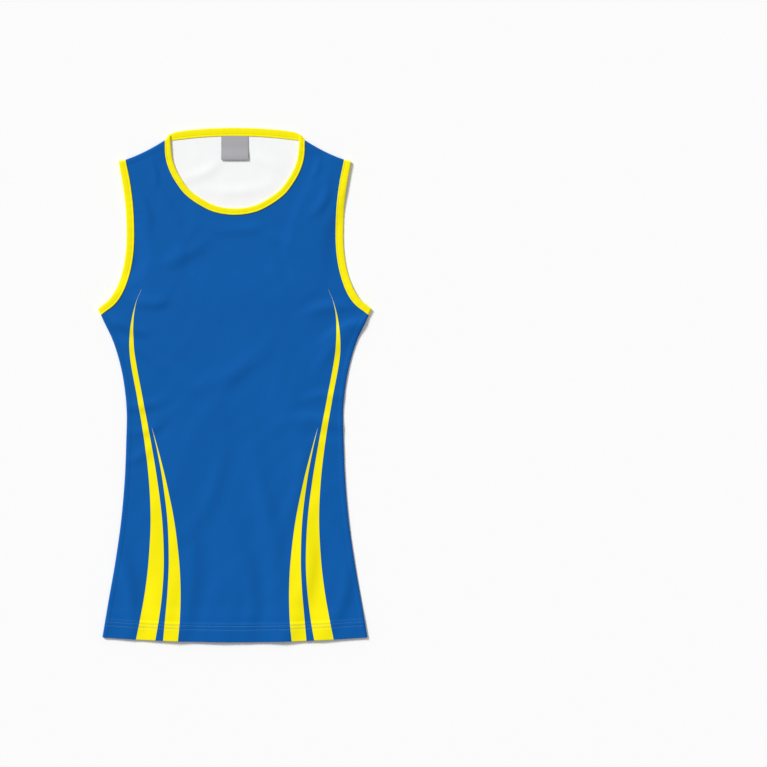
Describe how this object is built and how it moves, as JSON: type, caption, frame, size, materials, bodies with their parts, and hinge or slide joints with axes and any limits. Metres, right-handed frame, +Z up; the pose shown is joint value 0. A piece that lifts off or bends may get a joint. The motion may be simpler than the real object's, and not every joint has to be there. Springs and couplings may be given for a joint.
{
  "type": "running singlet",
  "caption": "Sleeveless women's running singlet laid flat with its front up: scooped neck, racer-cut back armholes, shaped waist, contrast bindings and a curved hem.",
  "frame": {"origin": "on the table under the middle of the garment's length and width", "axes": "+X to the wearer's left, +Y from the hem to the neck, +Z up from the table, with the front on top"},
  "size_m": [0.369, 0.694, 0.0055],
  "materials": {
    "front_cloth": "printed polyester interlock knit, soft sheen, with tapering yellow flashes",
    "back_cloth": "printed polyester interlock knit, soft sheen, white on the inside",
    "binding": "folded knit binding, matt",
    "label": "woven satin tape, unmarked"
  },
  "bodies": {
    "root": {"front_panel": "front_cloth", "back_panel": "back_cloth", "neck_binding_front": "binding", "neck_binding_back": "binding", "armhole_binding_front_left": "binding", "armhole_binding_front_right": "binding", "armhole_binding_back_left": "binding", "armhole_binding_back_right": "binding", "neck_label": "label"}
  },
  "joints": []
}
